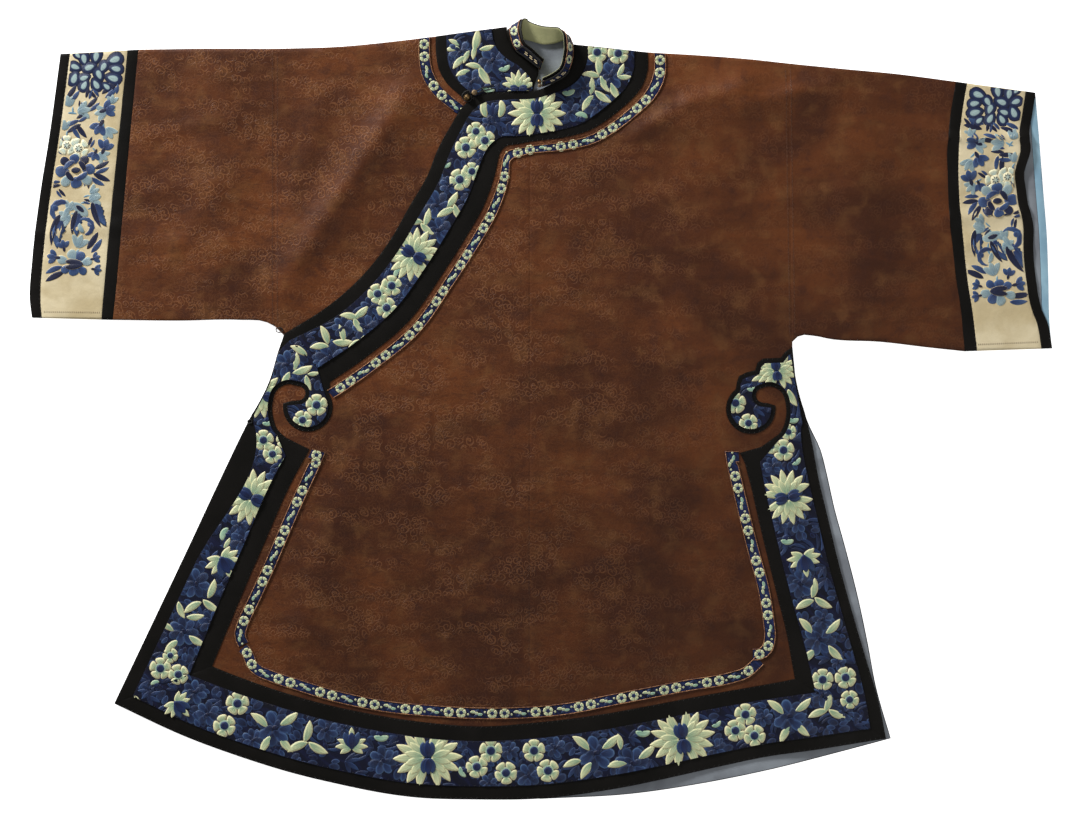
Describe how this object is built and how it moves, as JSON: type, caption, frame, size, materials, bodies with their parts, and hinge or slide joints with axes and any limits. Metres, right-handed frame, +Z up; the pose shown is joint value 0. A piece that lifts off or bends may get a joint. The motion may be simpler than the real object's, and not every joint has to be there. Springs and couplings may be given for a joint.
{
  "type": "chinese silk robe",
  "caption": "Brown silk robe laid flat with its sleeves spread: side-closing front, black borders with blue flower strips, cloud heads at the side slits, ivory cuffs and a low standing collar.",
  "frame": {"origin": "middle of the robe on the surface it lies on: halfway across the sleeves and halfway from collar to hem", "axes": "+X along the sleeve on the right of the picture, +Y to the collar, +Z up from the surface"},
  "size_m": [1.3996, 1.0665, 0.0277],
  "materials": {
    "brown_silk": "brown damask silk with tone-on-tone scrolls, soft sheen",
    "black_satin": "black silk satin",
    "blue_embroidery": "navy ground with satin-stitch flowers in blues, sea green and cream",
    "flower_ribbon": "woven navy ribbon with small cream plum blossoms",
    "ivory_silk": "ivory silk with flowers in blue knot stitch",
    "lining_silk": "grey-blue plain silk",
    "facing_silk": "light blue plain silk",
    "collar_silk": "greenish plain silk",
    "gilt_metal": "worn gilt brass"
  },
  "bodies": {
    "root": {"back_body": "brown_silk", "front_under": "brown_silk", "front_outer": "brown_silk", "sleeve_left": "brown_silk", "sleeve_right": "brown_silk", "back_binding": "black_satin", "border_neck_left": "black_satin", "border_lapel": "black_satin", "border_side_left": "black_satin", "border_hem": "black_satin", "border_side_right": "black_satin", "cuff_edge_left": "black_satin", "cuff_edge_right": "black_satin", "cuff_band_left": "black_satin", "cuff_band_right": "black_satin", "collar_band": "black_satin", "loop_underarm": "black_satin", "loop_side": "black_satin", "strip_neck_left": "blue_embroidery", "strip_lapel": "blue_embroidery", "strip_side_left": "blue_embroidery", "strip_hem": "blue_embroidery", "strip_side_right": "blue_embroidery", "ribbon_neck_left": "flower_ribbon", "ribbon_lapel": "flower_ribbon", "ribbon_side_left": "flower_ribbon", "ribbon_hem": "flower_ribbon", "ribbon_side_right": "flower_ribbon", "collar_ribbon": "flower_ribbon", "cuff_panel_left": "ivory_silk", "cuff_panel_right": "ivory_silk", "back_lining": "lining_silk", "cuff_lining_right": "lining_silk", "cuff_facing_right": "facing_silk", "collar_lining": "collar_silk", "button_neck": "gilt_metal", "knot_neck": "gilt_metal", "knob_collar_upper": "gilt_metal", "knob_collar_lower": "gilt_metal"}
  },
  "joints": []
}
